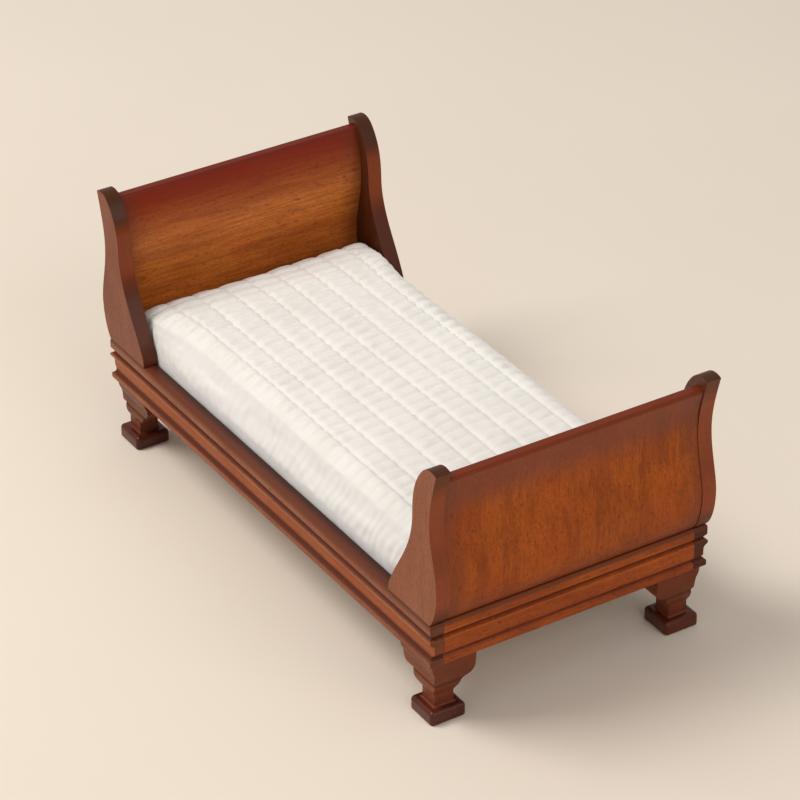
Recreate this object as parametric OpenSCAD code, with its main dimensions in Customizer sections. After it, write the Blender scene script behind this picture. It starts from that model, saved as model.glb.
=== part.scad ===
// Miniature sleigh bed with a quilted mattress that lifts off.
// X runs across the bed, Y along it with the foot end at -Y, and Z is up from the floor.

/* [Bed frame] */
// Length over the moulded base frame
frame_l = 176; // [140:1:220]
// Width over the moulded base frame
frame_w = 90; // [70:1:120]
// Height of the flat top of the base frame above the floor
frame_top = 33.6; // [33:0.2:36]
// Thickness of the side rails
rail_t = 4.6; // [4.4:0.1:6]
// Thickness of the foot rail and the head rail
end_rail_t = 5; // [4.8:0.1:6]

/* [Scroll ends] */
// Thickness of each scroll post
post_t = 4.6; // [4:0.1:6]
// Thickness of the curved head and foot panels
panel_t = 3.9; // [3:0.1:4]
// Depth of the groove in a post that houses the end of a panel
housing_d = 1.2; // [0.8:0.1:2]
// Diameter of the dowels
dowel_d = 1.6; // [1:0.1:1.7]

/* [Feet] */
// Side of the square pad under each foot
pad_w = 11.1; // [9:0.1:12]
// Thickness of each pad
pad_h = 4.2; // [3.4:0.1:4.6]

/* [Slats and mattress] */
// Width of each slat
slat_w = 10; // [6:0.5:14]
// Gap between the mattress and the posts on each side
side_gap = 0.3; // [0.2:0.1:3]
// Gap between the mattress and the rails at each end
end_gap = 0.8; // [0.5:0.1:6]
// Thickness of the mattress
mattress_h = 20.4; // [14:0.2:24]

/* [Hidden] */
$fn = 40;
stain = [0.45, 0.20, 0.10];
dark_stain = [0.22, 0.09, 0.07];
plain_wood = [0.72, 0.55, 0.36];
cotton = [0.93, 0.92, 0.89];

// Levels, from the floor up.
frame_h = 13.6;
frame_bottom = frame_top - frame_h;
block_h = 11.8;
block_foot = frame_bottom - block_h;
ledger_h = 3;
ledger_bottom = frame_bottom + 3;
slat_bottom = ledger_bottom + ledger_h;
slat_t = 2;
mattress_rest = 0.15;
mattress_bottom = slat_bottom + slat_t + mattress_rest;

// Faces of the frame and of what stands on it.
rail_x = frame_w / 2;
rail_in_x = rail_x - rail_t;
end_y = frame_l / 2;
end_in_y = end_y - end_rail_t;
strip_set = 0.2;
post_x = rail_x - strip_set;
post_in_x = post_x - post_t;
panel_set = 0.25;
panel_round = 1.1;
head_tip = [end_y + 2, frame_top + 45.5];
foot_tip = [end_y + 1.6, frame_top + 44];

// How far in from the frame's outer faces each foot block reaches, across and along the bed.
block_reach_x = 15.5;
block_reach_y = 17.2;
pad_in = 1.2;
foot_x = rail_x - pad_in - pad_w / 2;
foot_y = end_y - pad_in - pad_w / 2;
neck_w = 6;
ledger_w = 3.4;
slat_count = 7;
slat_pitch = 2 * end_in_y / slat_count;
slat_play = 0.3;

// Dowels: a bore is wider than its pin by bore_play and longer by end_play at each end.
bore_play = 0.1;
end_play = 0.4;
dowel_x = rail_in_x + 1.8;
post_dowel_ys = [end_y - 6.5, end_y - 15.5];
post_dowel_half = 5.5;
foot_dowel_low = 1.4;
foot_dowel_high = block_foot + 6;

// A cubic curve through four control points, without its last point.
function bend(a, b, c, d, n = 7) = [
    for (i = [0 : n - 1])
        let (t = i / n, u = 1 - t)
        u * u * u * a + 3 * u * u * t * b + 3 * u * t * t * c + t * t * t * d
];

function reversed(list) = [for (i = [len(list) - 1 : -1 : 0]) list[i]];

// A point measured out from the end of the frame and up from its top.
function at(out, up) = [end_y + out, frame_top + up];

// The back of a scroll end, from the top of the frame to its tip.
function scroll_back(tip) = concat(
    bend(at(-0.8, 0), at(1.4, 2), at(2.9, 6.9), at(2.9, 12)),
    bend(at(2.9, 12), at(2.9, 17.9), at(-0.3, 23.9), at(-0.3, 31.9)),
    bend(at(-0.3, 31.9), at(-0.3, 37.6), tip - [1.4, 5], tip),
    [tip]
);

// The side of a scroll post: back, rolled top, then the front sweeping down to the rail.
function post_side() = concat(
    scroll_back(at(2.9, 48.2)),
    bend(at(2.9, 48.2), at(0.8, 49.2), at(-1.8, 48.9), at(-3.6, 46.9)),
    bend(at(-3.6, 46.9), at(-6.8, 43.4), at(-8.6, 38.7), at(-8.6, 31.9)),
    bend(at(-8.6, 31.9), at(-8.6, 19.9), at(-16, 13.4), at(-20.7, 2.6), 9),
    [at(-20.7, 2.6), at(-20.9, 0)]
);

// A quarter round about a centre, from the angle given.
function quarter(centre, r, from) = [
    for (a = [0 : 22.5 : 90]) centre + r * [cos(from + a), sin(from + a)]
];

// The section of a panel: the same back set in a little, a rounded top edge and a matching front.
function panel_section(tip) = concat(
    [for (p = scroll_back(tip)) p - [panel_set, 0]],
    quarter(tip - [panel_set + panel_round, 0], panel_round, 0),
    quarter(tip - [panel_set + panel_t - panel_round, 0], panel_round, 90),
    [for (p = reversed(scroll_back(tip))) p - [panel_set + panel_t, 0]]
);

// The rounded top edge and flat strip that both mouldings of the base frame start with.
function strip_edge(face) = [
    [face - 0.9, frame_top], [face - 0.5, frame_top - 0.12],
    [face - 0.28, frame_top - 0.4], [face - strip_set, frame_top - 0.9]
];

// The moulding of the end rails: strip, narrow groove, flat bar, narrow groove, fillet.
function end_moulding(face) = concat(
    strip_edge(face),
    [[face - strip_set, frame_top - 3.4], [face - 0.9, frame_top - 4.2]],
    [[face - 0.9, frame_top - 4.6], [face - 0.1, frame_top - 5]],
    bend([face, frame_top - 5.3], [face + 0.05, frame_top - 6.5],
         [face + 0.05, frame_top - 8.2], [face, frame_top - 9.5], 3),
    [[face, frame_top - 9.5], [face - 1.1, frame_top - 10.4]],
    [[face - 1.1, frame_top - 11.1], [face - 0.3, frame_top - 11.7]],
    [[face - strip_set, frame_top - 12], [face - strip_set, frame_top - 13.2]],
    [[face - 0.5, frame_bottom]]
);

// The moulding of the side rails: strip, groove, sharp nose, hollow, fillet.
function side_moulding(face) = concat(
    strip_edge(face),
    bend([face - strip_set, frame_top - 2.9], [face - strip_set, frame_top - 3.4],
         [face - 1.3, frame_top - 3.3], [face - 1.3, frame_top - 3.8], 4),
    bend([face - 1.3, frame_top - 3.8], [face - 1.2, frame_top - 4.5],
         [face - 0.5, frame_top - 4.6], [face - 0.1, frame_top - 5.1], 4),
    bend([face, frame_top - 5.3], [face, frame_top - 6.6],
         [face - 1.5, frame_top - 6], [face - 1.5, frame_top - 7.5], 5),
    bend([face - 1.5, frame_top - 9.4], [face - 1.5, frame_top - 10.6],
         [face - 1, frame_top - 11.2], [face - 0.3, frame_top - 11.6], 5),
    [[face - 0.3, frame_top - 11.6], [face - strip_set, frame_top - 11.9]],
    [[face - strip_set, frame_top - 13.2], [face - 0.5, frame_bottom]]
);

// The outer edge of a foot block going down: stepped on its side face, plain on its end face.
function stepped_edge(face) = concat(
    [[face - 1.6, frame_bottom]],
    bend([face - 1.6, frame_bottom - 1.4], [face - 1.7, frame_bottom - 3.4],
         [face - 2.4, frame_bottom - 3], [face - 2.5, frame_bottom - 5], 4),
    [[face - 2.5, frame_bottom - 5]],
    bend([face - 2.5, frame_bottom - 7], [face - 2.6, frame_bottom - 7.8],
         [face - 3.4, frame_bottom - 7.5], [face - 3.4, frame_bottom - 8.3], 4),
    bend([face - 3.4, frame_bottom - 8.3], [face - 2.8, frame_bottom - 9],
         [face - 2.8, frame_bottom - 11.2], [face - 3.7, block_foot], 5),
    [[face - 3.7, block_foot]]
);
function plain_edge(face) = concat(
    bend([face - 1.3, frame_bottom], [face - 1.5, frame_bottom - 4],
         [face - 2.2, frame_bottom - 9], [face - 3.7, block_foot], 8),
    [[face - 3.7, block_foot]]
);

// The inner edge of a foot block coming back up; edge is where it meets the frame.
function bracket_edge(edge) = concat(
    bend([edge + 7.3, block_foot], [edge + 5.6, block_foot],
         [edge + 4.6, block_foot + 0.8], [edge + 4.2, block_foot + 2.1], 4),
    bend([edge + 4.2, block_foot + 2.1], [edge + 3.9, block_foot + 5],
         [edge + 0.7, block_foot + 3], [edge, block_foot + 6.8], 5),
    [[edge, block_foot + 6.8], [edge, frame_bottom]]
);

// An outline round a rectangle with rounded corners; the two sizes are its half sides.
function rounded(half_a, half_b, r) = [
    for (k = [0 : 3], a = [0 : 18 : 90])
        let (sa = (k == 0 || k == 3) ? 1 : -1, sb = k < 2 ? 1 : -1)
        [sa * (half_a - r), sb * (half_b - r)] + r * [cos(90 * k + a), sin(90 * k + a)]
];

// Extrudes a [y, z] outline across the bed, or an [x, z] outline along it.
module across(x0, x1)
    translate([x0, 0, 0]) rotate([90, 0, 90]) linear_extrude(x1 - x0) children();

module along(y0, y1)
    translate([0, y1, 0]) rotate([90, 0, 0]) linear_extrude(y1 - y0) children();

// Puts something modelled at the back right corner into the corner that sx and sy choose.
module corner(sx, sy)
    mirror([sx < 0 ? 1 : 0, 0, 0]) mirror([0, sy < 0 ? 1 : 0, 0]) children();

module post_dowel_set(d, half)
    for (y = post_dowel_ys)
        translate([dowel_x, y, frame_top - half]) cylinder(d = d, h = 2 * half);

module foot_dowel_pin(d, low, high)
    translate([foot_x, foot_y, low]) cylinder(d = d, h = high - low);

module post_bores() post_dowel_set(dowel_d + bore_play, post_dowel_half + end_play);
module foot_bore() foot_dowel_pin(dowel_d + bore_play, foot_dowel_low - end_play, foot_dowel_high + end_play);

// Side rail: a full-length moulded board; its ends carry on the moulding of the end rails.
module side_rail(sx)
    color(stain)
    difference() {
        intersection() {
            corner(sx, 1)
                along(-end_y, end_y)
                polygon(concat([[rail_in_x, frame_bottom], [rail_in_x, frame_top]], side_moulding(rail_x)));
            across(-rail_x, rail_x)
                polygon(concat(end_moulding(end_y), [for (p = reversed(end_moulding(end_y))) [-p[0], p[1]]]));
        }
        corner(sx, 1) post_bores();
        corner(sx, -1) post_bores();
    }

module side_rail_left() side_rail(-1);
module side_rail_right() side_rail(1);

// End rail: the moulded board that fits between the side rails.
module end_rail(sy)
    color(stain)
    corner(1, sy)
    across(-rail_in_x, rail_in_x)
    polygon(concat([[end_in_y, frame_bottom], [end_in_y, frame_top]], end_moulding(end_y)));

module foot_rail() end_rail(-1);
module head_rail() end_rail(1);

// Scroll post: a shaped board, grooved inside for the panel and bored below for two dowels.
module scroll_post(sx, sy)
    color(stain)
    corner(sx, sy)
    difference() {
        across(post_in_x, post_x) polygon(post_side());
        across(post_in_x - 1, post_in_x + housing_d) polygon(panel_section(sy > 0 ? head_tip : foot_tip));
        post_bores();
    }

module foot_post_left() scroll_post(-1, -1);
module foot_post_right() scroll_post(1, -1);
module head_post_left() scroll_post(-1, 1);
module head_post_right() scroll_post(1, 1);

// Curved panel: bent board standing on the end rail, housed in both posts.
module scroll_panel(sy)
    color(stain)
    corner(1, sy)
    across(-post_in_x - housing_d, post_in_x + housing_d)
    polygon(panel_section(sy > 0 ? head_tip : foot_tip));

module foot_panel() scroll_panel(-1);
module head_panel() scroll_panel(1);

// Foot block: stepped ogee block with a neck below and a plug that fills the frame's corner.
module foot_block(sx, sy)
    color(stain)
    corner(sx, sy)
    difference() {
        union() {
            intersection() {
                along(end_y - block_reach_y, end_y)
                    polygon(concat(stepped_edge(rail_x), bracket_edge(rail_x - block_reach_x)));
                across(rail_x - block_reach_x, rail_x)
                    polygon(concat(plain_edge(end_y), bracket_edge(end_y - block_reach_y)));
            }
            translate([rail_x - block_reach_x + 1, end_y - block_reach_y + 1, frame_bottom - 1])
                cube([block_reach_x - rail_t - 1, block_reach_y - end_rail_t - 1,
                      ledger_bottom - frame_bottom + 1]);
            translate([foot_x - neck_w / 2, foot_y - neck_w / 2, pad_h])
                cube([neck_w, neck_w, block_foot + 1 - pad_h]);
        }
        foot_bore();
    }

module foot_block_front_left() foot_block(-1, -1);
module foot_block_front_right() foot_block(1, -1);
module foot_block_back_left() foot_block(-1, 1);
module foot_block_back_right() foot_block(1, 1);

// Pad: square plate with rounded corners and a rounded top edge.
function pad_section() = [
    for (p = rounded(pad_w / 2, pad_h, 0.8)) if (p[1] > 0) p
];
module foot_pad(sx, sy)
    color(dark_stain)
    corner(sx, sy)
    difference() {
        intersection() {
            translate([foot_x, foot_y, 0])
                linear_extrude(pad_h) polygon(rounded(pad_w / 2, pad_w / 2, 1.2));
            translate([foot_x, 0, 0])
                along(foot_y - pad_w, foot_y + pad_w)
                polygon(concat(pad_section(), [[-pad_w / 2, 0], [pad_w / 2, 0]]));
            translate([0, foot_y, 0])
                across(foot_x - pad_w, foot_x + pad_w)
                polygon(concat(pad_section(), [[-pad_w / 2, 0], [pad_w / 2, 0]]));
        }
        foot_bore();
    }

module foot_pad_front_left() foot_pad(-1, -1);
module foot_pad_front_right() foot_pad(1, -1);
module foot_pad_back_left() foot_pad(-1, 1);
module foot_pad_back_right() foot_pad(1, 1);

// Ledger: plain strip glued inside a side rail to carry the slats.
module ledger(sx)
    color(plain_wood)
    corner(sx, 1)
    translate([rail_in_x - ledger_w, -end_in_y, ledger_bottom]) cube([ledger_w, 2 * end_in_y, ledger_h]);

module ledger_left() ledger(-1);
module ledger_right() ledger(1);

// Slat: plain strip lying across the ledgers; they are counted from the foot end.
module slat(n)
    color(plain_wood)
    translate([-rail_in_x + slat_play, (n - (slat_count + 1) / 2) * slat_pitch - slat_w / 2, slat_bottom])
    cube([2 * (rail_in_x - slat_play), slat_w, slat_t]);

module slat_1() slat(1);
module slat_2() slat(2);
module slat_3() slat(3);
module slat_4() slat(4);
module slat_5() slat(5);
module slat_6() slat(6);
module slat_7() slat(7);

// Eight pins, two under each post, and four pins, one through each pad and neck.
module post_dowels()
    color(plain_wood)
    for (sx = [-1, 1], sy = [-1, 1])
        corner(sx, sy) post_dowel_set(dowel_d, post_dowel_half);

module foot_dowels()
    color(plain_wood)
    for (sx = [-1, 1], sy = [-1, 1])
        corner(sx, sy) foot_dowel_pin(dowel_d, foot_dowel_low, foot_dowel_high);

// Mattress: plain cushion with rounded edges and corners, lying loose on the slats.
mattress_x = post_in_x - side_gap;
mattress_y = end_in_y - end_gap;
mattress_edge = 4;
module mattress()
    color(cotton)
    translate([0, 0, mattress_bottom])
    intersection() {
        linear_extrude(mattress_h) polygon(rounded(mattress_x, mattress_y, mattress_edge));
        translate([0, 0, mattress_h / 2]) {
            along(-mattress_y, mattress_y) polygon(rounded(mattress_x, mattress_h / 2, mattress_edge));
        }
        translate([0, 0, mattress_h / 2]) {
            across(-mattress_x, mattress_x) polygon(rounded(mattress_y, mattress_h / 2, mattress_edge));
        }
    }

side_rail_left();
side_rail_right();
foot_rail();
head_rail();
foot_post_left();
foot_post_right();
head_post_left();
head_post_right();
foot_panel();
head_panel();
foot_block_front_left();
foot_block_front_right();
foot_block_back_left();
foot_block_back_right();
foot_pad_front_left();
foot_pad_front_right();
foot_pad_back_left();
foot_pad_back_right();
ledger_left();
ledger_right();
slat_1();
slat_2();
slat_3();
slat_4();
slat_5();
slat_6();
slat_7();
post_dowels();
foot_dowels();
mattress();
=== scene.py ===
import math

import bmesh
import bpy
from mathutils import Matrix, Vector, noise


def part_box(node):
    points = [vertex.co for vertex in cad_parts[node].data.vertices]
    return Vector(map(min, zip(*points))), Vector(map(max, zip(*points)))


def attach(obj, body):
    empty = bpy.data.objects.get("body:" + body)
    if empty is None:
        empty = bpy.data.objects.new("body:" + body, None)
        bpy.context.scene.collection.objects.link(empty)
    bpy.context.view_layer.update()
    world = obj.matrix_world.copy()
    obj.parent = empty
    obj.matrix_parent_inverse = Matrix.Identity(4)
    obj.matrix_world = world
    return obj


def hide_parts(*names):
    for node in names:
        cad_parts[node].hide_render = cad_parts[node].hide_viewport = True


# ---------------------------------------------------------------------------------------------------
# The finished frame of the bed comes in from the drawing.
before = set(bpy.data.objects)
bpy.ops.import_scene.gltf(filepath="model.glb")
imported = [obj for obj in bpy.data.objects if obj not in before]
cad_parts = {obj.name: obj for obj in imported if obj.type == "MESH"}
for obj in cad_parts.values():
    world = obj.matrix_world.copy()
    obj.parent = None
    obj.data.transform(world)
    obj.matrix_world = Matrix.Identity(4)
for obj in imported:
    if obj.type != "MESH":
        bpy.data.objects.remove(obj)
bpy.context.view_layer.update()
MM = 0.001


# ---------------------------------------------------------------------------------------------------
# Camera. The bed is looked at from its front left corner and from well above the mattress.
def stand_camera(azimuth, elevation, roll, shift_x, shift_y, distance, lens):
    a, e, r = (math.radians(v) for v in (azimuth, elevation, roll))
    back = Vector((math.sin(a) * math.cos(e), -math.cos(a) * math.cos(e), math.sin(e)))
    level = Vector((0, 0, 1)).cross(back).normalized()
    upward = back.cross(level)
    right = math.cos(r) * level + math.sin(r) * upward
    up = math.cos(r) * upward - math.sin(r) * level
    spot = (back * distance + right * shift_x + up * shift_y) * MM
    data = bpy.data.cameras.new("camera")
    data.sensor_width = 36
    data.lens = lens
    data.clip_start = 0.05
    data.clip_end = 20
    camera = bpy.data.objects.new("camera", data)
    bpy.context.scene.collection.objects.link(camera)
    turn = Matrix((right, up, back)).transposed().to_4x4()
    camera.matrix_world = Matrix.Translation(spot) @ turn
    bpy.context.scene.camera = camera


stand_camera(-31.88, 31.83, -0.551, 0.702, 36.274, 1061.6, 165.63)


# ---------------------------------------------------------------------------------------------------
# Side rails: two full-length moulded boards of stained wood. Their ends show end grain and carry on
# the moulding of the end rails, so each is a long moulding cut to the outline of the end rails.
def clear_choice():
    for thing in bpy.context.selected_objects:
        thing.select_set(False)


def take(thing):
    clear_choice()
    thing.select_set(True)
    bpy.context.view_layer.objects.active = thing


def edit(thing):
    take(thing)
    bpy.ops.object.mode_set(mode="EDIT")
    bpy.ops.mesh.select_mode(type="VERT")


def leave():
    bpy.ops.object.mode_set(mode="OBJECT")


def work(thing, kind, **settings):
    """Adds one modifier with its settings and applies it."""
    take(thing)
    step = thing.modifiers.new(kind.lower(), kind)
    for key, value in settings.items():
        setattr(step, key, value)
    bpy.ops.object.modifier_apply(modifier=step.name)


def curve(a, b, c, d, steps):
    """Points on a cubic curve through four control points, without the last one."""
    a, b, c, d = Vector(a), Vector(b), Vector(c), Vector(d)
    points = []
    for i in range(steps):
        t = i / steps
        u = 1 - t
        points.append(u**3 * a + 3 * u * u * t * b + 3 * u * t * t * c + t**3 * d)
    return points


def board(name, outline, plane, start, end):
    """A board cut to an outline in millimetres, drawn edge by edge and pulled from start to end."""
    def place(p):
        return Vector((start, p[0], p[1]) if plane == "YZ" else (p[0], start, p[1])) * MM

    points = [place(p) for p in outline]
    clear_choice()
    bpy.ops.mesh.primitive_plane_add(size=MM, location=points[0])
    thing = bpy.context.active_object
    thing.name = name
    bpy.ops.object.transform_apply(location=True, rotation=True, scale=True)
    edit(thing)
    bpy.ops.mesh.select_all(action="SELECT")
    bpy.ops.mesh.merge(type="CENTER")
    for before, after in zip(points, points[1:]):
        bpy.ops.mesh.extrude_region_move(TRANSFORM_OT_translate={"value": after - before})
    bpy.ops.mesh.select_all(action="SELECT")
    bpy.ops.mesh.edge_face_add()
    pull = (end - start) * MM
    along = Vector((pull, 0, 0) if plane == "YZ" else (0, pull, 0))
    bpy.ops.mesh.extrude_region_move(TRANSFORM_OT_translate={"value": along})
    bpy.ops.mesh.select_all(action="SELECT")
    bpy.ops.mesh.normals_make_consistent(inside=False)
    leave()
    return thing


def trim(thing, other, operation):
    """Cuts thing with other, or keeps only what the two share, and throws other away."""
    work(thing, "BOOLEAN", operation=operation, solver="EXACT", object=other)
    bpy.data.objects.remove(other)


def polish(thing):
    """Shades the flat faces flat and the rounded ones smooth."""
    take(thing)
    bpy.ops.object.shade_smooth_by_angle(angle=math.radians(40))
    work(thing, "WEIGHTED_NORMAL", keep_sharp=True)


def ease_edges(thing, width, segments, angle=32):
    """Rounds the edges that are sharper than an angle, as sanding does."""
    work(thing, "BEVEL", width=width * MM, segments=segments, limit_method="ANGLE",
         angle_limit=math.radians(angle), miter_outer="MITER_ARC")
    polish(thing)


def mirrored(thing, name, flip_x, flip_y):
    """A copy of a piece with its own mesh, for another corner of the bed."""
    mesh = thing.data.copy()
    mesh.transform(Matrix.Diagonal((flip_x, flip_y, 1, 1)))
    if flip_x * flip_y < 0:
        mesh.flip_normals()
    copy = bpy.data.objects.new(name, mesh)
    bpy.context.scene.collection.objects.link(copy)
    return copy


RAIL_X = 45.0
RAIL_IN_X = 40.4
END_Y = 88.0
END_IN_Y = 83.0
FRAME_TOP = 33.6
FRAME_BOTTOM = 20.0


def measured_from(face, top):
    """Gives points by how far they lie inward from a face and down from a height."""
    def point(inward, down):
        return Vector((face - inward, top - down))
    return point


def strip_edge(p):
    """The rounded top edge of the flat strip that both mouldings start with."""
    return [p(0.9, 0), p(0.5, 0.12), p(0.28, 0.4), p(0.2, 0.9)]


def end_moulding(face):
    """End rails, from the top down: strip, narrow groove, bar, narrow groove and fillet."""
    p = measured_from(face, FRAME_TOP)
    points = strip_edge(p) + [p(0.2, 3.4), p(0.9, 4.2), p(0.9, 4.6), p(0.1, 5)]
    points += curve(p(0, 5.3), p(-0.05, 6.5), p(-0.05, 8.2), p(0, 9.5), 6)
    points += [p(0, 9.5), p(1.1, 10.4), p(1.1, 11.1), p(0.3, 11.7), p(0.2, 12), p(0.2, 13.2)]
    return points + [Vector((face - 0.5, FRAME_BOTTOM))]


def side_moulding(face):
    """Side rails, from the top down: strip, groove, sharp nose, hollow and fillet."""
    p = measured_from(face, FRAME_TOP)
    points = strip_edge(p)
    points += curve(p(0.2, 2.9), p(0.2, 3.4), p(1.3, 3.3), p(1.3, 3.8), 6)
    points += curve(p(1.3, 3.8), p(1.2, 4.5), p(0.5, 4.6), p(0.1, 5.1), 6)
    points += curve(p(0, 5.3), p(0, 6.6), p(1.5, 6), p(1.5, 7.5), 8)
    points += curve(p(1.5, 9.4), p(1.5, 10.6), p(1, 11.2), p(0.3, 11.6), 8)
    points += [p(0.3, 11.6), p(0.2, 11.9), p(0.2, 13.2)]
    return points + [Vector((face - 0.5, FRAME_BOTTOM))]


side_face = side_moulding(RAIL_X)
end_face = end_moulding(END_Y)
OVERCUT = 1.0
side_section = [Vector((RAIL_IN_X, FRAME_BOTTOM)), Vector((RAIL_IN_X, FRAME_TOP))] + side_face
right_side_rail = board("right_side_rail", side_section, "XZ", -END_Y - OVERCUT, END_Y + OVERCUT)
end_outline = end_face + [Vector((-p[0], p[1])) for p in reversed(end_face)]
rail_ends = board("rail_end_outline", end_outline, "YZ", RAIL_IN_X - OVERCUT, RAIL_X + OVERCUT)
trim(right_side_rail, rail_ends, "INTERSECT")
left_side_rail = mirrored(right_side_rail, "left_side_rail", -1, 1)
ARRIS = 0.1
MOULDING_ANGLE = 40
for rail in (right_side_rail, left_side_rail):
    ease_edges(rail, ARRIS, 2, MOULDING_ANGLE)


class Wire:
    """One output of a material's node. Sums on it, and its size without its sign, add Math nodes."""

    def __init__(self, finish, socket):
        self.finish = finish
        self.socket = socket

    def _maths(self, operation, first, second):
        return self.finish.node("Math", {"operation": operation}, {0: first, 1: second})

    def __add__(self, other):
        return self._maths("ADD", self, other)

    def __radd__(self, other):
        return self._maths("ADD", other, self)

    def __sub__(self, other):
        return self._maths("SUBTRACT", self, other)

    def __rsub__(self, other):
        return self._maths("SUBTRACT", other, self)

    def __mul__(self, other):
        return self._maths("MULTIPLY", self, other)

    def __rmul__(self, other):
        return self._maths("MULTIPLY", other, self)

    def __abs__(self):
        return self.finish.node("Math", {"operation": "ABSOLUTE"}, {0: self})


class Finish:
    """A material and its nodes."""

    def __init__(self, name):
        self.material = bpy.data.materials.new(name)
        self.material.use_nodes = True
        self.tree = self.material.node_tree
        self.shader = self.tree.nodes["Principled BSDF"]

    def node(self, kind, settings=None, sockets=None, output=0):
        """A new node: its settings first, then values or links for its sockets. Gives one output."""
        made = self.tree.nodes.new("ShaderNode" + kind)
        for key, value in (settings or {}).items():
            setattr(made, key, value)
        for key, value in (sockets or {}).items():
            if isinstance(value, Wire):
                self.tree.links.new(value.socket, made.inputs[key])
            else:
                made.inputs[key].default_value = value
        return Wire(self, made.outputs[output])

    def set(self, name, value):
        """Sets one of the shader's own sockets, or links it."""
        if isinstance(value, Wire):
            self.tree.links.new(value.socket, self.shader.inputs[name])
        else:
            self.shader.inputs[name].default_value = value

    def blend(self, factor, first, second):
        """Mixes two colours."""
        def colour(value):
            return value if isinstance(value, Wire) else (*value, 1)

        kind = {"data_type": "RGBA", "clamp_factor": True}
        return self.node("Mix", kind, {0: factor, 6: colour(first), 7: colour(second)}, 2)

    def between(self, value, low, high):
        """0 below low, 1 above high and a smooth ramp between them."""
        return self.node("MapRange", {"interpolation_type": "SMOOTHSTEP"},
                         {0: value, 1: low, 2: high, 3: 0.0, 4: 1.0})

    def place(self):
        """Where a point is, in metres."""
        return self.node("TexCoord", output=3)

    def way(self):
        """Which way a surface faces."""
        return self.node("TexCoord", output=1)

    def part(self, vector, axis):
        """One of a vector's three numbers."""
        return self.node("SeparateXYZ", None, {0: vector}, axis)

    def mm(self, spot, axis):
        """A place along one axis in millimetres."""
        return self.part(spot, axis) * 1000.0

    def cloud(self, spot, scale, detail, rough=0.6):
        """Smooth noise, from broad clouds at a small scale to grit at a large one."""
        return self.node("TexNoise", None, {"Vector": spot, "Scale": float(scale),
                                            "Detail": float(detail), "Roughness": rough})


ALONG = {"X": (1, 0, 0), "Y": (0, 1, 0), "Z": (0, 0, 1)}


def wood(name, grain, turn=(0, 0, 0), light=(0.30, 0.075, 0.012), dark=(0.16, 0.032, 0.006),
         red=(0.22, 0.032, 0.008), gloss=0.34, coat=0.1, figure=0.3, curl=0.0, shade=None):
    """Stained and lacquered wood. grain is the axis it runs along, and shade colours it by place,
    with stain and with painted light and shade.
    """
    f = Finish(name)
    spot = f.place()

    def drawn_out(share):
        stretch = tuple(share if axis else 1 for axis in ALONG[grain])
        return f.node("Mapping", None, {0: spot, 1: turn, 3: stretch})

    def deeper(share):
        return tuple(share * v for v in dark)

    bands = f.cloud(drawn_out(0.16), 210, 5)
    fibres = f.cloud(drawn_out(0.04), 1700, 3)
    flecks = f.cloud(drawn_out(0.22), 2100, 1, 0.5)
    clouds = f.cloud(spot, 45, 4)
    grit = f.cloud(spot, 1300, 2)
    fleck_mask = f.between(flecks, 0.60, 0.70)
    colour = f.blend(f.between(bands, 0.38, 0.66) * 0.6, light, dark)
    colour = f.blend(f.between(clouds, 0.40, 0.70) * 0.5, colour, red)
    colour = f.blend(f.between(fibres, 0.35, 0.7) * figure, colour, deeper(0.6))
    colour = f.blend(f.between(grit, 0.40, 0.75) * 0.3, colour, deeper(0.5))
    colour = f.blend(fleck_mask * 0.5, colour, deeper(0.4))
    if curl:
        streaks = f.cloud(f.node("Mapping", None, {0: spot, 3: (1, 1, 0.06)}), 520, 3)
        patches = f.cloud(spot, 30, 1, 0.5)
        lines = f.between(streaks, 0.48, 0.66) * f.between(patches, 0.40, 0.62)
        colour = f.blend(lines * curl, colour, deeper(0.7))
    if shade:
        colour = shade(f, spot, colour)
    f.set("Base Color", colour)
    f.set("Roughness", gloss + 0.10 * f.between(clouds, 0.3, 0.7) + 0.06 * fleck_mask)
    f.set("Specular IOR Level", 0.14)
    f.set("Coat Weight", coat)
    f.set("Coat Roughness", 0.14)
    height = 0.5 * fibres + 0.4 * grit - 0.6 * fleck_mask
    f.set("Normal", f.node("Bump", None, {"Strength": 0.14, "Distance": 0.08 * MM, "Height": height}))
    return f.material


def paint(thing, material):
    thing.data.materials.clear()
    thing.data.materials.append(material)


# A near-black brown for painted shade: shadow lines at the foot of posts and panels, and under the frame.
PAINTED_SHADE_DARK = (0.030, 0.005, 0.004)


def facing(f, axis):
    """1 where a surface faces along an axis, one way or the other, and 0 where it does not."""
    return f.between(abs(f.part(f.way(), axis)), 0.55, 0.85)


def stripe(f, value, limits, soft):
    """1 between two limits, fading out over a soft margin on each side."""
    low, high = limits
    return f.between(value, low - soft, low + soft) * (1 - f.between(value, high - soft, high + soft))


def painted_top_shade(f, colour, z, out):
    """Painted shade: the rounded top edge of a rail is painted darker than its face, and its flat top
    darker still inside, towards the mattress.
    """
    colour = f.blend(f.between(z, 31.8, 32.7) * 0.8, colour, (0.120, 0.030, 0.009))
    inner = f.blend(f.between(out, 0.5, 3.6), (0.030, 0.011, 0.009), (0.130, 0.030, 0.012))
    return f.blend(f.between(z, 33.4, 33.55) * 0.85, colour, inner)


def reach(f, spot, axis, face):
    """Millimetres outward from a face that stands across an axis."""
    return abs(f.part(spot, axis)) * 1000.0 - face


# Heights on the moulding: the flanks painted dark as shade, the nose painted pale as a highlight and the
# hollow painted lighter as lit.
GROOVE_FLANK = (28.75, 30.3)
NOSE = (28.1, 28.4)
HOLLOW = (23.6, 26.8)
HOLLOW_FLANK = (22.0, 23.3)


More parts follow.
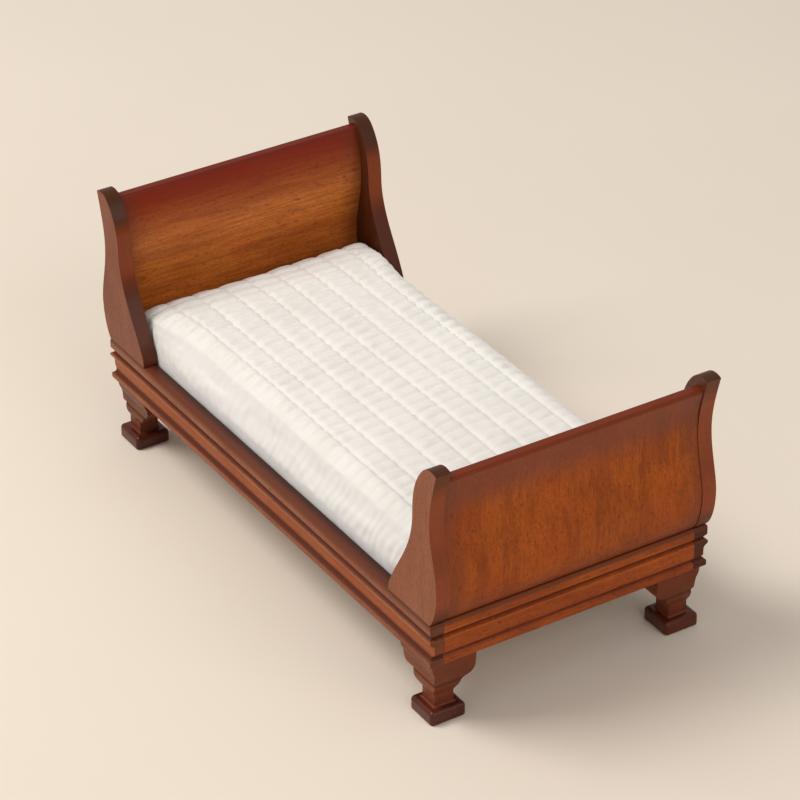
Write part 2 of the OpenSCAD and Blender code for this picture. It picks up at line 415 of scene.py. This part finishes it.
def side_rail_shade(f, spot, colour):
    """Painted shade on the upward flanks of the groove and hollow, a painted highlight along the nose and
    painted light on the hollow's wall. The end grain is darker with stain, and darker on the right rail."""
    x, z = f.part(spot, 0), f.mm(spot, 2)
    flanks = stripe(f, z, GROOVE_FLANK, 0.25) + stripe(f, z, HOLLOW_FLANK, 0.3)
    ends = facing(f, 1) * (0.52 + 0.33 * f.between(x, -0.01, 0.01))
    # Painted light: the hollow's wall is painted lighter.
    colour = f.blend(stripe(f, z, HOLLOW, 0.8) * 0.6, colour, (0.40, 0.085, 0.010))
    # Painted shade on the upward flanks.
    colour = f.blend(flanks * 0.9, colour, (0.075, 0.012, 0.004))
    # Painted highlight along the nose.
    colour = f.blend(stripe(f, z, NOSE, 0.12) * 0.45, colour, (0.46, 0.19, 0.085))
    colour = f.blend(ends, colour, (0.040, 0.010, 0.006))
    return painted_top_shade(f, colour, z, reach(f, spot, 0, RAIL_IN_X))


rail_wood = wood("stained rail wood with painted light and shade", "Y", (0.01, 0.02, 0.03), light=(0.32, 0.094, 0.032),
                 dark=(0.22, 0.058, 0.020), shade=side_rail_shade)
for rail, node in ((right_side_rail, "side_rail_right"), (left_side_rail, "side_rail_left")):
    paint(rail, rail_wood)
    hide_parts(node)
    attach(rail, "frame")


# ---------------------------------------------------------------------------------------------------
# End rails: the same moulding, shallower, on the two boards that fit between the side rails at the
# head and at the foot. They are glued and carry the curved panels.
end_section = [Vector((END_IN_Y, FRAME_BOTTOM)), Vector((END_IN_Y, FRAME_TOP))] + end_face
back_end_rail = board("head_end_rail", end_section, "YZ", -RAIL_IN_X, RAIL_IN_X)
front_end_rail = mirrored(back_end_rail, "foot_end_rail", 1, -1)
# Heights of the arrises painted as highlights and of the grooves painted as shade.
STRIP_ARRIS = (30.2, 30.5)
UPPER_GROOVE = (28.9, 29.5)
BAR_ARRIS = (28.1, 28.4)
LOWER_GROOVE = (22.4, 23.1)


def end_rail_shade(f, spot, colour):
    """Painted shade in the two narrow grooves, and painted highlights along the arrises of the strip and
    the bar.
    """
    z = f.mm(spot, 2)
    grooves = stripe(f, z, UPPER_GROOVE, 0.2) + stripe(f, z, LOWER_GROOVE, 0.25)
    painted_highlights = stripe(f, z, STRIP_ARRIS, 0.12) + stripe(f, z, BAR_ARRIS, 0.12)
    colour = f.blend(grooves * 0.75, colour, (0.060, 0.008, 0.005))
    colour = f.blend(painted_highlights * 0.35, colour, (0.50, 0.15, 0.035))
    return painted_top_shade(f, colour, z, reach(f, spot, 1, END_IN_Y))


end_rail_wood = wood("stained end rail wood with painted light and shade", "X", (0.05, 0.01, 0.02), light=(0.42, 0.085, 0.008),
                     dark=(0.24, 0.042, 0.006), shade=end_rail_shade)
for rail, node in ((back_end_rail, "head_rail"), (front_end_rail, "foot_rail")):
    ease_edges(rail, ARRIS, 2, MOULDING_ANGLE)
    paint(rail, end_rail_wood)
    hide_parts(node)
    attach(rail, "frame")


# ---------------------------------------------------------------------------------------------------
# Scroll posts: four boards sawn to an S shape with a rolled top, sanded and lacquered. Each stands
# on a side rail on two dowels and is grooved inside for the end of the curved panel.
POST_X = 44.8
POST_IN_X = 40.2
HOUSING = 1.2


def at(out, up):
    """A point by how far it lies outward from the end rail and up from the frame's top."""
    return Vector((END_Y + out, FRAME_TOP + up))


def scroll_back(tip):
    """The outer line of a post, which the panel follows, up to a tip."""
    points = curve(at(-0.8, 0), at(1.4, 2), at(2.9, 6.9), at(2.9, 12), 14)
    points += curve(at(2.9, 12), at(2.9, 17.9), at(-0.3, 23.9), at(-0.3, 31.9), 14)
    points += curve(at(-0.3, 31.9), at(-0.3, 37.6), tip - Vector((1.4, 5)), tip, 14)
    return points + [tip]


PANEL_SET = 0.25
PANEL_T = 3.9
PANEL_ROUND = 1.1
HEAD_TIP = at(2, 45.5)
FOOT_TIP = at(1.6, 44)


def quarter(centre, radius, start):
    """A quarter round about a centre, from a starting angle."""
    angles = [math.radians(start + 11.25 * step) for step in range(9)]
    return [centre + Vector((math.cos(a), math.sin(a))) * radius for a in angles]


def panel_outline(tip):
    """A panel's outline: up its outer face, over the rounded top edge and down its inner face."""
    points = [p - Vector((PANEL_SET, 0)) for p in scroll_back(tip)]
    points += quarter(tip - Vector((PANEL_SET + PANEL_ROUND, 0)), PANEL_ROUND, 0)[1:]
    points += quarter(tip - Vector((PANEL_SET + PANEL_T - PANEL_ROUND, 0)), PANEL_ROUND, 90)
    return points + [p - Vector((PANEL_SET + PANEL_T, 0)) for p in reversed(scroll_back(tip))][1:]


post_outline = scroll_back(at(2.9, 48.2))
post_outline += curve(at(2.9, 48.2), at(0.8, 49.2), at(-1.8, 48.9), at(-3.6, 46.9), 12)[1:]
post_outline += curve(at(-3.6, 46.9), at(-6.8, 43.4), at(-8.6, 38.7), at(-8.6, 31.9), 14)
post_outline += curve(at(-8.6, 31.9), at(-8.6, 19.9), at(-16, 13.4), at(-20.7, 2.6), 18)
post_outline += [at(-20.7, 2.6), at(-20.9, 0)]


def scroll_post(name, tip):
    """A post for the back right corner, grooved for a panel with its top edge at tip."""
    post = board(name, post_outline, "YZ", POST_IN_X, POST_X)
    groove = board("post_housing", panel_outline(tip), "YZ", POST_IN_X - OVERCUT, POST_IN_X + HOUSING)
    trim(post, groove, "DIFFERENCE")
    return post


right_head_post = scroll_post("right_head_post", HEAD_TIP)
turned_foot_post = scroll_post("turned_foot_post", FOOT_TIP)
posts = {
    "head_post_right": right_head_post,
    "head_post_left": mirrored(right_head_post, "left_head_post", -1, 1),
    "foot_post_right": mirrored(turned_foot_post, "right_foot_post", 1, -1),
    "foot_post_left": mirrored(turned_foot_post, "left_foot_post", -1, -1),
}
bpy.data.objects.remove(turned_foot_post)


def post_shade(f, spot, colour):
    """The sawn edges are darker than the flat faces, partly as end grain and partly as painted shade,
    and the end grain round the scroll most of all. The faces towards the mattress, the upward edges,
    the rounded arrises, the lowest part of the edges and a line at the post's foot are painted shade.
    """
    x, z = f.part(spot, 0), f.mm(spot, 2)
    way_x, way_z = f.part(f.way(), 0), f.part(f.way(), 2)
    edge = 1 - facing(f, 0)
    inside = f.between(x * way_x * -1000.0, 10.0, 30.0)
    arris = stripe(f, abs(way_x), (0.25, 0.9), 0.1)
    colour = f.blend(edge * 0.65, colour, (0.24, 0.040, 0.007))
    colour = f.blend(inside * 0.75, colour, (0.050, 0.012, 0.005))
    colour = f.blend(edge * f.between(way_z, 0.15, 0.45) * 0.8, colour, (0.055, 0.014, 0.006))
    colour = f.blend(edge * f.between(z, 72.0, 80.0) * 0.6, colour, (0.045, 0.017, 0.006))
    colour = f.blend(arris * 0.6, colour, (0.045, 0.010, 0.005))
    colour = f.blend(edge * (1 - f.between(z, 36.0, 42.0)) * 0.7, colour, (0.055, 0.013, 0.006))
    return f.blend((1 - f.between(z, 33.7, 34.3)) * 0.8, colour, PAINTED_SHADE_DARK)


foot_post_wood = wood("stained foot post wood with painted shade", "Z", (0.02, 0.03, 0.05), light=(0.30, 0.088, 0.030),
                      dark=(0.22, 0.058, 0.020), red=(0.25, 0.060, 0.020), coat=0.14, figure=0.2,
                      shade=post_shade)
head_post_wood = wood("stained head post wood with painted shade", "Z", (0.05, 0.01, 0.03), light=(0.23, 0.058, 0.017),
                      dark=(0.16, 0.037, 0.011), red=(0.18, 0.038, 0.011), coat=0.14, figure=0.2,
                      shade=post_shade)
POST_ARRIS = 0.8
for node, post in posts.items():
    ease_edges(post, POST_ARRIS, 5)
    paint(post, head_post_wood if node.startswith("head") else foot_post_wood)
    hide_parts(node)
    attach(post, "frame")


# ---------------------------------------------------------------------------------------------------
# Curved panels: thin boards bent to the line of the posts, with a rounded top edge. They stand on
# the end rails, and their ends are glued into the grooves of the posts.
PANEL_X = POST_IN_X + HOUSING
head_panel = board("head_curved_panel", panel_outline(HEAD_TIP), "YZ", -PANEL_X, PANEL_X)
turned_foot_panel = board("turned_foot_panel", panel_outline(FOOT_TIP), "YZ", -PANEL_X, PANEL_X)
foot_panel = mirrored(turned_foot_panel, "foot_curved_panel", 1, -1)
bpy.data.objects.remove(turned_foot_panel)


def panel_shade(band_low, band_high, band, band_share, rim_low, rim):
    """Painted shade darkens the panel towards its ends, by the posts, and towards the bottom, with a
    painted shadow line at its foot. A band lies across the upper part, and it is redder along the top.
    """
    def shade(f, spot, colour):
        side = abs(f.part(spot, 0)) * 1000.0
        height = f.mm(spot, 2)
        colour = f.blend(f.between(height, band_low, band_high) * band_share, colour, band)
        colour = f.blend(f.between(side, 32.0, 41.0) * 0.5, colour, (0.13, 0.036, 0.018))
        colour = f.blend((1 - f.between(height, 33.6, 43.0)) * 0.45, colour, (0.12, 0.034, 0.018))
        colour = f.blend(f.between(height, rim_low, rim_low + 0.9) * 0.85, colour, rim)
        return f.blend((1 - f.between(height, 33.6, 34.0)) * 0.45, colour, PAINTED_SHADE_DARK)
    return shade


head_panel_wood = wood("stained head panel wood with painted shade", "X", (0.03, 0.04, 0.01), light=(0.68, 0.20, 0.032),
                       dark=(0.36, 0.085, 0.014), red=(0.46, 0.095, 0.014), figure=0.5,
                       shade=panel_shade(59, 79, (0.20, 0.012, 0.003), 0.95, 79.0, (0.13, 0.012, 0.004)))
# On the foot panel the band is a painted reflection, greyish mauve across the upper part.
foot_panel_wood = wood("stained foot panel wood with painted shade and reflection", "Z", (0.06, 0.02, 0.05), light=(0.43, 0.088, 0.004),
                       dark=(0.26, 0.046, 0.003), red=(0.33, 0.047, 0.003), curl=0.55,
                       shade=panel_shade(63, 73, (0.17, 0.048, 0.026), 0.65, 77.5, (0.15, 0.018, 0.002)))
PANEL_ARRIS = 0.12
for panel, node, finish in ((head_panel, "head_panel", head_panel_wood),
                            (foot_panel, "foot_panel", foot_panel_wood)):
    ease_edges(panel, PANEL_ARRIS, 2)
    paint(panel, finish)
    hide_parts(node)
    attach(panel, "frame")


# ---------------------------------------------------------------------------------------------------
# Foot blocks: four stepped ogee brackets under the corners of the frame. Each is one block with the
# same stepped outline on two sides, a square neck below and a plug glued inside the frame's corner.
BLOCK_FOOT = 8.2
PAD_H = 4.2
PAD_W = 11.1
PAD_IN = 1.2
PLUG_TOP = 23.0
FOOT_X = RAIL_X - PAD_IN - PAD_W / 2
FOOT_Y = END_Y - PAD_IN - PAD_W / 2
NECK = 3.0


def stepped_edge(face):
    """The side of a block going down: a cove, a step, a second step and a hollow."""
    p = measured_from(face, FRAME_BOTTOM)
    points = [p(1.6, 0)] + curve(p(1.6, 1.4), p(1.7, 3.4), p(2.4, 3), p(2.5, 5), 7)
    points += [p(2.5, 5)] + curve(p(2.5, 7), p(2.6, 7.8), p(3.4, 7.5), p(3.4, 8.3), 5)
    return points + curve(p(3.4, 8.3), p(2.8, 9), p(2.8, 11.2), p(3.7, 11.8), 8)


def plain_edge(face):
    """The end of a block going down: one smooth sweep."""
    p = measured_from(face, FRAME_BOTTOM)
    return curve(p(1.3, 0), p(1.5, 4), p(2.2, 9), p(3.7, 11.8), 12)


def block_outline(outer_edge, middle, edge, plug_out):
    """A block's outline: outer edge, neck, the bracket coming back up to edge, and the plug."""
    foot, low = BLOCK_FOOT, PAD_H
    outer, inner = middle + NECK, middle - NECK
    outline = [(plug_out, PLUG_TOP), (plug_out, FRAME_BOTTOM)] + outer_edge
    outline += [(outer, foot - 0.3), (outer, low + 0.8), (outer + 0.15, low + 0.3), (outer + 0.5, low)]
    outline += [(inner - 0.5, low), (inner - 0.15, low + 0.3), (inner, low + 0.8)]
    knee = (edge + 4.2, foot + 2.1)
    outline += curve((inner, foot - 0.3), (inner - 0.1, foot + 0.4), (knee[0] + 0.4, foot + 0.6), knee, 6)
    outline += curve(knee, (edge + 3.9, foot + 5), (edge + 0.7, foot + 3), (edge, foot + 6.8), 9)
    outline += [(edge, foot + 6.8), (edge, FRAME_BOTTOM), (edge + 1, FRAME_BOTTOM), (edge + 1, PLUG_TOP)]
    return outline


EDGE_X = RAIL_X - 15.5
EDGE_Y = END_Y - 17.2
block = board("back_right_foot", block_outline(plain_edge(END_Y), FOOT_Y, EDGE_Y, END_IN_Y), "YZ",
              EDGE_X - OVERCUT, RAIL_X + OVERCUT)
other = board("foot_outline", block_outline(stepped_edge(RAIL_X), FOOT_X, EDGE_X, RAIL_IN_X), "XZ",
              EDGE_Y - OVERCUT, END_Y + OVERCUT)
trim(block, other, "INTERSECT")
blocks = {
    "foot_block_back_right": block,
    "foot_block_back_left": mirrored(block, "back_left_foot", -1, 1),
    "foot_block_front_right": mirrored(block, "front_right_foot", 1, -1),
    "foot_block_front_left": mirrored(block, "front_left_foot", -1, -1),
}


def foot_shade(f, spot, colour):
    """Painted shade under the frame, on the steps, at the neck and on the two feet at the head;
    darker also on the sides that face the bed's ends."""
    y, z = f.part(spot, 1), f.mm(spot, 2)
    steps = f.between(z, 18.9, 19.9) + stripe(f, z, (11.2, 12.2), 0.4)
    neck = 1 - f.between(z, 5.5, 9.0)
    colour = f.blend(f.between(y, -0.01, 0.01) * 0.45, colour, (0.085, 0.022, 0.008))
    colour = f.blend(facing(f, 1) * 0.55, colour, (0.12, 0.024, 0.008))
    colour = f.blend(neck * 0.5, colour, (0.10, 0.018, 0.009))
    return f.blend(steps * 0.6, colour, PAINTED_SHADE_DARK)


foot_wood = wood("stained foot wood with painted shade", "Y", (0.07, 0.02, 0.06), light=(0.25, 0.068, 0.020),
                 dark=(0.15, 0.036, 0.011), shade=foot_shade)
BLOCK_ARRIS = 0.15
for node, foot in blocks.items():
    ease_edges(foot, BLOCK_ARRIS, 2)
    paint(foot, foot_wood)
    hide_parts(node)
    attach(foot, "frame")


# ---------------------------------------------------------------------------------------------------
# Pads: four small square plates of very dark wood with rounded corners and a rounded top edge,
# glued and pinned under the necks. The bed stands on them.
def choose_edges(thing, wanted):
    """Selects the edges whose two ends pass a test, in edit mode."""
    bpy.ops.mesh.select_mode(type="EDGE")
    bpy.ops.mesh.select_all(action="DESELECT")
    mesh = bmesh.from_edit_mesh(thing.data)
    for edge in mesh.edges:
        edge.select = wanted(edge.verts[0].co, edge.verts[1].co)
    mesh.select_flush_mode()
    bmesh.update_edit_mesh(thing.data)


PAD_CORNER = 1.2
PAD_TOP_ROUND = 1.3
PAD_FOOT_ROUND = 0.6
clear_choice()
bpy.ops.mesh.primitive_cube_add(size=1, location=(FOOT_X * MM, FOOT_Y * MM, PAD_H / 2 * MM),
                                scale=(PAD_W * MM, PAD_W * MM, PAD_H * MM))
pad = bpy.context.active_object
pad.name = "back_right_pad"
bpy.ops.object.transform_apply(location=True, rotation=True, scale=True)
edit(pad)
choose_edges(pad, lambda a, b: abs(a.z - b.z) > 1 * MM)
bpy.ops.mesh.bevel(offset=PAD_CORNER * MM, segments=6, affect="EDGES")
choose_edges(pad, lambda a, b: min(a.z, b.z) > (PAD_H - 0.01) * MM)
bpy.ops.mesh.bevel(offset=PAD_TOP_ROUND * MM, segments=7, affect="EDGES")
choose_edges(pad, lambda a, b: max(a.z, b.z) < 0.01 * MM)
bpy.ops.mesh.bevel(offset=PAD_FOOT_ROUND * MM, segments=3, affect="EDGES")
leave()
pads = {
    "foot_pad_back_right": pad,
    "foot_pad_back_left": mirrored(pad, "back_left_pad", -1, 1),
    "foot_pad_front_right": mirrored(pad, "front_right_pad", 1, -1),
    "foot_pad_front_left": mirrored(pad, "front_left_pad", -1, -1),
}
pad_wood = wood("dark pad wood", "X", (0.02, 0.09, 0.01), light=(0.110, 0.020, 0.008),
                dark=(0.055, 0.010, 0.005), red=(0.075, 0.012, 0.006), gloss=0.22, coat=0.3)
for node, plate in pads.items():
    polish(plate)
    paint(plate, pad_wood)
    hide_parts(node)
    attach(plate, "frame")


# ---------------------------------------------------------------------------------------------------
# Ledgers, slats and dowels: plain sanded strips and pins that hold the mattress up and the joints
# together. Ledgers are glued inside the side rails, and the slats lie across them.
plain_wood = wood("plain slat wood", "X", (0.04, 0.02, 0.08), light=(0.60, 0.40, 0.22),
                  dark=(0.42, 0.25, 0.12), red=(0.50, 0.30, 0.15), gloss=0.62, figure=0.25)
ledger_wood = wood("plain ledger wood", "Y", (0.01, 0.06, 0.03), light=(0.58, 0.38, 0.21),
                   dark=(0.40, 0.24, 0.12), red=(0.48, 0.29, 0.15), gloss=0.62, figure=0.25)
pin_wood = wood("dowel wood", "Z", (0.03, 0.01, 0.02), light=(0.62, 0.43, 0.25), dark=(0.47, 0.30, 0.16),
                red=(0.52, 0.34, 0.19), gloss=0.6, figure=0.2)


SLAT_ARRIS = 0.25


def strip(node, material):
    """A strip the size of the drawn one, with its edges eased."""
    low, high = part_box(node)
    clear_choice()
    bpy.ops.mesh.primitive_cube_add(size=1, location=(low + high) / 2, scale=high - low)
    piece = bpy.context.active_object
    piece.name = node + "_strip"
    bpy.ops.object.transform_apply(location=True, rotation=True, scale=True)
    ease_edges(piece, SLAT_ARRIS, 2)
    paint(piece, material)
    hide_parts(node)
    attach(piece, "frame")


for number in range(1, 8):
    strip(f"slat_{number}", plain_wood)
for side in ("left", "right"):
    strip(f"ledger_{side}", ledger_wood)
for node in ("post_dowels", "foot_dowels"):
    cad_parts[node].data.materials[0] = pin_wood


# ---------------------------------------------------------------------------------------------------
# Mattress: a soft pad in a cover of puckered white cotton, stitched in channels along its length.
# Between the channels the cover gathers into small crosswise puckers. It lies loose on the slats.
low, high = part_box("mattress")
BEFORE_SWELLING = Vector((1.4, 1.6, 2.4)) * MM
VOXEL = 1.6 * MM
SWELL_LIMIT = 1.0 * MM
clear_choice()
bpy.ops.mesh.primitive_cube_add(size=1, location=(low + high) / 2, scale=high - low - BEFORE_SWELLING)
mattress = bpy.context.active_object
mattress.name = "quilted_mattress"
bpy.ops.object.transform_apply(location=True, rotation=True, scale=True)
work(mattress, "BEVEL", width=3.0 * MM, segments=4)
work(mattress, "REMESH", mode="VOXEL", voxel_size=VOXEL)
rest = [v.co.copy() for v in mattress.data.vertices]
cloth = mattress.modifiers.new("cloth", "CLOTH")
cloth.settings.quality = 6
cloth.settings.mass = 0.02
cloth.settings.use_pressure = True
cloth.settings.uniform_pressure_force = 3
cloth.settings.effector_weights.gravity = 0
cloth.settings.tension_stiffness = 12
cloth.settings.compression_stiffness = 12
cloth.settings.bending_stiffness = 0.2
cloth.collision_settings.use_collision = False
for number in range(1, 21):
    bpy.context.scene.frame_set(number)
take(mattress)
bpy.ops.object.modifier_apply(modifier="cloth")
bpy.context.scene.frame_set(1)
for vertex, before in zip(mattress.data.vertices, rest):
    move = vertex.co - before
    if move.length > SWELL_LIMIT:
        vertex.co = before + move * (SWELL_LIMIT / move.length)
work(mattress, "SUBSURF", levels=2, render_levels=2)

# Distances along the cover are in metres here, and depths and widths of its relief in millimetres.
CHANNEL = 8.6 * MM
FIRST_SEAM = 4.7 * MM
PUCKER = 4.5 * MM
RIB = 3.3 * MM
WIDEST = 39.95 * MM
LONGEST = 82.1 * MM
SEAM_WIDTH = 0.75
SEAM_DEPTH = 0.5
CREASE_WIDTH = 0.85
CREASE_DEPTH = 1.0
RIB_DEPTH = 0.15
LEAN = 2.2
HEAD_DROP = 1.9
LEFT_DROP = 0.4


def ramp(value, start, end):
    """0 before start, 1 after end and a smooth ramp between them."""
    t = max(0.0, min(1.0, (value - start) / (end - start)))
    return t * t * (3 - 2 * t)


def wander(x, y, z):
    """Smooth noise, the same on each run."""
    return noise.noise(Vector((x, y, z)))


mesh = mattress.data
mesh.update()
moves = []
for vertex in mesh.vertices:
    p, n = vertex.co, vertex.normal
    x, y, z = (v / MM for v in p)
    # Seams run along the bed, and wander a little.
    drift = wander(x * 0.05, y * 0.02, 3.0) * 0.7 * MM
    lane = (p.x + FIRST_SEAM + drift) / CHANNEL
    across = abs(math.sin(math.pi * lane))
    from_seam = abs(lane - round(lane)) * CHANNEL / MM
    seam = math.exp(-((from_seam / SEAM_WIDTH) ** 2)) * (1 - 0.6 * ramp(abs(y), 64, 76))
    # Puckers lie across each channel, out of step with the next one and weaker towards the foot.
    slip = wander(math.floor(lane) * 7.3, 1.7, 0.4) * 2 + wander(x * 0.05, y * 0.05, 8.0) * 0.35
    row = p.y / PUCKER + slip
    from_crease = abs(row - round(row)) * PUCKER / MM
    crease = math.exp(-((from_crease / CREASE_WIDTH) ** 2)) * (0.35 + 0.65 * across)
    strength = 0.9 + 0.5 * wander(x * 0.08, y * 0.1, 5.0)
    strength *= (0.35 + 0.65 * ramp(y, -45, 15)) * (1 - 0.6 * ramp(abs(x), 33, 37.5))
    top = max(0.0, min(1.0, (n.z - 0.1) / 0.5))
    puff = 0.3 * across**0.5 - 0.1 - SEAM_DEPTH * seam + strength * (0.25 - CREASE_DEPTH * crease)
    puff += 0.22 * wander(x * 0.25, y * 0.35, 2.0)
    # The sides are only lightly gathered.
    rib = math.sin(2 * math.pi * (p.x + p.y) / RIB + 5 * wander(x * 0.1, y * 0.1, z * 0.1))
    side = RIB_DEPTH * rib * ramp(z, 35, 38) * (1 - ramp(z, 44, 47))
    side += 0.35 * wander(x * 0.25, y * 0.25, z * 0.25)
    move = n * (top * puff + (1 - top) * side) * MM
    # The cover fills the frame at the bottom, leans in above it and drops towards the head.
    lean = LEAN * ramp(z, 36, 47) * ramp(abs(x), 20, 39) * (1 - ramp(y, 50, 72))
    spread = (1 - ramp(z, 36, 42)) * ramp(abs(x), 34, 38.5)
    half_width = abs(p.x) * (1 - spread) + WIDEST * spread - lean * MM
    move.x += math.copysign(half_width, p.x) - p.x
    stretch = (1 - ramp(z, 40, 46)) * ramp(abs(y), 77, 81)
    move.y += math.copysign(LONGEST - abs(p.y), p.y) * stretch
    move.z -= (HEAD_DROP * ramp(y, 60, 80) + LEFT_DROP * ramp(-x, 30, 40)) * ramp(z, 40, 47) * MM
    moves.append(move)
for vertex, move in zip(mesh.vertices, moves):
    vertex.co += move
    vertex.co.x = max(-WIDEST, min(WIDEST, vertex.co.x))
bpy.ops.object.shade_smooth()


THREAD = 0.45


def cotton(name):
    """Fine plain weave, slightly warm white, with a soft sheen. Its sides are painted greyer and its
    lowest part bluer and darker, as painted shade.
    """
    f = Finish(name)
    spot = f.place()
    threads = 2 * math.pi / (THREAD * MM)
    warp = f.node("Math", {"operation": "SINE"}, {0: f.part(spot, 0) * threads})
    weft = f.node("Math", {"operation": "SINE"}, {0: f.part(spot, 1) * threads})
    clouds = f.cloud(spot, 90, 4)
    fuzz = f.cloud(spot, 2600, 2, 0.5)
    colour = f.blend(f.between(clouds, 0.35, 0.7), (0.80, 0.775, 0.735), (0.76, 0.735, 0.69))
    low_down = 1 - f.between(f.mm(spot, 2), 33.0, 39.0)
    # Painted shade: greyer on the sides, bluer and darker low down.
    colour = f.blend(facing(f, 0) * 0.6, colour, (0.69, 0.685, 0.68))
    colour = f.blend(low_down * 0.4, colour, (0.68, 0.69, 0.74))
    f.set("Base Color", colour)
    f.set("Roughness", 0.88 + 0.08 * fuzz)
    f.set("Sheen Weight", 0.25)
    f.set("Sheen Roughness", 0.5)
    height = 0.5 * (warp * weft) + fuzz
    f.set("Normal", f.node("Bump", None, {"Strength": 0.35, "Distance": 0.05 * MM, "Height": height}))
    return f.material


paint(mattress, cotton("quilted white cotton with painted shade"))
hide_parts("mattress")
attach(mattress, "mattress")


# ---------------------------------------------------------------------------------------------------
# Studio: a plain pale floor, a large soft light from the upper left and a weaker one in front.
clear_choice()
bpy.ops.mesh.primitive_plane_add(size=6, location=(0, 0, 0))
floor = bpy.context.active_object
floor.name = "floor"
ground = Finish("pale floor")
tone = ground.cloud(ground.place(), 9, 3, 0.5)
ground.set("Base Color", ground.blend(tone, (0.76, 0.67, 0.57), (0.80, 0.71, 0.61)))
ground.set("Roughness", 0.85)
paint(floor, ground.material)


LIT_POINT = Vector((0, 0, 0.03))


def soft_light(name, spot, size, power, colour):
    """A rectangular lamp that shines on the middle of the bed."""
    data = bpy.data.lights.new(name, "AREA")
    data.shape = "RECTANGLE"
    data.size = size[0]
    data.size_y = size[1]
    data.energy = power
    data.color = colour
    lamp = bpy.data.objects.new(name, data)
    bpy.context.scene.collection.objects.link(lamp)
    lamp.location = spot
    lamp.rotation_euler = (LIT_POINT - Vector(spot)).to_track_quat("-Z", "Y").to_euler()


soft_light("main light", (-0.62, 0.36, 1.0), (0.6, 0.6), 9.8, (1.0, 0.97, 0.93))
soft_light("front light", (0.1, -1.3, 0.9), (1.2, 0.8), 5.0, (1.0, 0.98, 0.96))
world = bpy.data.worlds.new("studio")
bpy.context.scene.world = world
world.use_nodes = True
sky = world.node_tree.nodes["Background"]
sky.inputs["Color"].default_value = (1.0, 0.98, 0.95, 1)
sky.inputs["Strength"].default_value = 0.5
bpy.context.scene.view_settings.view_transform = "Standard"
